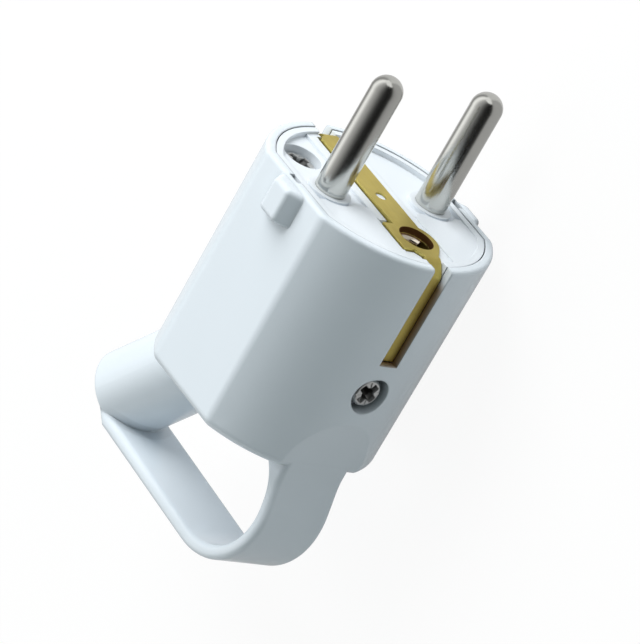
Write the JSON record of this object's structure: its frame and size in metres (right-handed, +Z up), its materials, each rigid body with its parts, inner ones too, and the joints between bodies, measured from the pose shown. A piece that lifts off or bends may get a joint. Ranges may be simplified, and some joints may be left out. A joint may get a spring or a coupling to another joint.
{
  "type": "rewirable mains plug",
  "caption": "White rewirable mains plug with round pins, side earth contacts, a slanted cable tube and a finger loop for pulling it out.",
  "frame": {"origin": "Middle of the pin row, on the seating face that meets the socket.", "axes": "+X along the pins towards the socket, +Y towards the cable tube, +Z up, square to the two flats; the plug lies on its lower flat."},
  "size_m": [0.0771, 0.0473, 0.0366],
  "materials": {
    "shell": "white moulded thermoplastic, satin gloss",
    "insert": "white moulded insulating plastic",
    "strip_brass": "bare rolled brass, satin",
    "pin_plate": "nickel-plated brass, polished",
    "zinc_steel": "zinc-plated steel",
    "clamp": "moulded plastic"
  },
  "bodies": {
    "root": {"cover": "shell", "pin_carrier": "insert", "earth_strip": "strip_brass", "earth_socket": "strip_brass", "line_pin": "pin_plate", "neutral_pin": "pin_plate", "line_terminal_screw": "zinc_steel", "neutral_terminal_screw": "zinc_steel", "earth_clamp_washer": "zinc_steel", "earth_terminal_screw": "zinc_steel", "cord_clamp_bar": "clamp", "cord_clamp_screw_front": "zinc_steel", "cord_clamp_screw_back": "zinc_steel", "cover_screw": "zinc_steel", "cover_screw_nut": "zinc_steel", "carrier_screw": "zinc_steel"}
  },
  "joints": []
}
